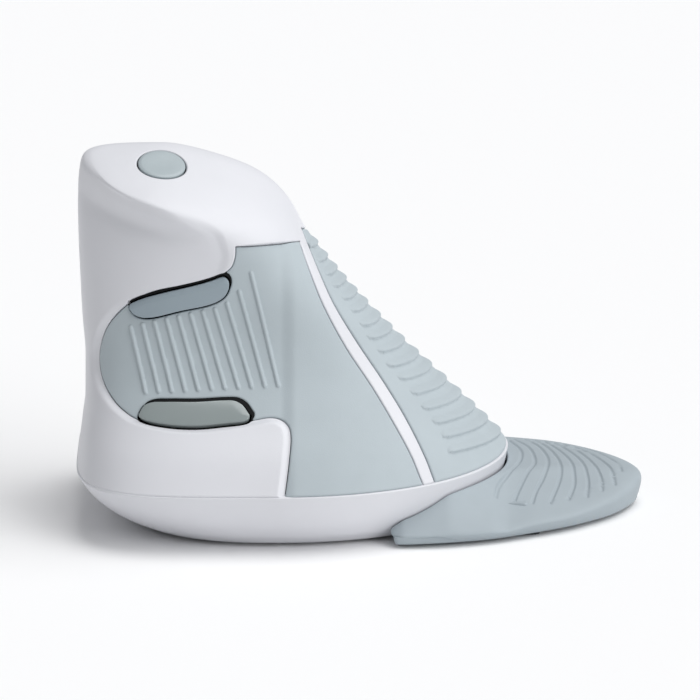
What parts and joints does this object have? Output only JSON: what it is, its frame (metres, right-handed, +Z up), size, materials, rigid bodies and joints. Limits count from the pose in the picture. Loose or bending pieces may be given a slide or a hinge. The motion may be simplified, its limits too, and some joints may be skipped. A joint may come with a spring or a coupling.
{
  "type": "vertical computer mouse",
  "caption": "Upright cordless computer mouse for the right hand, with a leaning white shell, ribbed grey grips, thumb buttons, scroll wheel and a detachable palm rest.",
  "frame": {"origin": "centre of the bounding box in plan, at the desk", "axes": "+X from the finger end to the palm rest, +Y from the thumb side to the finger side, +Z up from the desk"},
  "size_m": [0.1133, 0.0672, 0.073],
  "materials": {
    "white_shell": "satin",
    "grey_grip": "matt, soft to the touch",
    "button_grey": "smooth",
    "rest_grey": "matt",
    "black_plastic": "matt",
    "wheel_rubber": "matt",
    "foot": "slick",
    "board": "coated",
    "steel": "plated",
    "cell_can": "plain sleeve",
    "lens": "clear"
  },
  "bodies": {
    "frame": {"front_shell": "white_shell", "thumb_grip": "grey_grip", "palm_grip": "grey_grip", "upper_button_well": "black_plastic", "lower_button_well": "black_plastic", "finger_board": "board", "index_switch": "black_plastic", "middle_switch": "black_plastic", "wheel_switch": "black_plastic", "side_board": "board", "upper_side_switch": "black_plastic", "lower_side_switch": "black_plastic", "top_board": "board", "top_switch": "black_plastic", "main_board": "board", "sensor_chip": "black_plastic", "sensor_lens": "lens", "power_switch": "black_plastic", "hull": "white_shell", "battery": "cell_can", "battery_spring": "steel", "battery_contact": "steel", "hull_screw_1": "steel", "hull_screw_2": "steel", "hull_screw_3": "steel", "hull_screw_4": "steel", "hull_foot_1": "foot", "hull_foot_2": "foot", "hull_foot_3": "foot", "hull_foot_4": "foot"},
    "index": {"index_button": "white_shell"},
    "middle": {"middle_button": "white_shell"},
    "carrier": {"wheel_carrier": "black_plastic", "wheel_encoder": "black_plastic"},
    "wheel": {"wheel_tyre": "wheel_rubber", "wheel_hub": "button_grey"},
    "upper_side": {"upper_side_button": "button_grey"},
    "lower_side": {"lower_side_button": "button_grey"},
    "dpi": {"dpi_button": "button_grey"},
    "power": {"power_knob": "button_grey"},
    "door": {"battery_door": "white_shell"},
    "palm_rest": {"palm_rest_cover": "rest_grey", "palm_rest_plate": "rest_grey", "rest_screw_1": "steel", "rest_screw_2": "steel", "rest_foot_1": "foot", "rest_foot_2": "foot"}
  },
  "joints": [
    {"name": "index_click", "type": "hinge", "parent": "frame", "child": "index", "pos_m": [-0.016, 0.01656, 0.05294], "axis": [0, -0.342, 0.9397], "range_deg": [0, 1.2], "stiffness_Nm_per_rad": 0.9},
    {"name": "middle_click", "type": "hinge", "parent": "frame", "child": "middle", "pos_m": [-0.011, 0.02545, 0.0285], "axis": [0, -0.342, 0.9397], "range_deg": [0, 1], "stiffness_Nm_per_rad": 1.1},
    {"name": "wheel_press", "type": "slide", "parent": "frame", "child": "carrier", "axis": [0, -0.9397, -0.342], "range_m": [0, 0.0005], "stiffness_N_per_m": 1500, "springref_m": -0.0001},
    {"name": "wheel_spin", "type": "hinge", "parent": "carrier", "child": "wheel", "pos_m": [-0.038, 0.01408, 0.03926], "axis": [0, -0.342, 0.9397], "continuous": true},
    {"name": "upper_side_press", "type": "slide", "parent": "frame", "child": "upper_side", "axis": [0, 0.9659, -0.2588], "range_m": [0, 0.0006], "stiffness_N_per_m": 800, "springref_m": -0.0001},
    {"name": "lower_side_press", "type": "slide", "parent": "frame", "child": "lower_side", "axis": [0, 0.9659, -0.2588], "range_m": [0, 0.0006], "stiffness_N_per_m": 800, "springref_m": -0.0001},
    {"name": "dpi_press", "type": "slide", "parent": "frame", "child": "dpi", "axis": [0, 0.3584, -0.9336], "range_m": [0, 0.0005], "stiffness_N_per_m": 800, "springref_m": -0.0001},
    {"name": "power_slide", "type": "slide", "parent": "frame", "child": "power", "axis": [1, 0, 0], "range_m": [0, 0.0026]},
    {"name": "door_release", "type": "slide", "parent": "frame", "child": "door", "axis": [0, 0, -1], "range_m": [0, 0.012]},
    {"name": "rest_release", "type": "slide", "parent": "frame", "child": "palm_rest", "axis": [1, 0, 0], "range_m": [0, 0.03]}
  ]
}
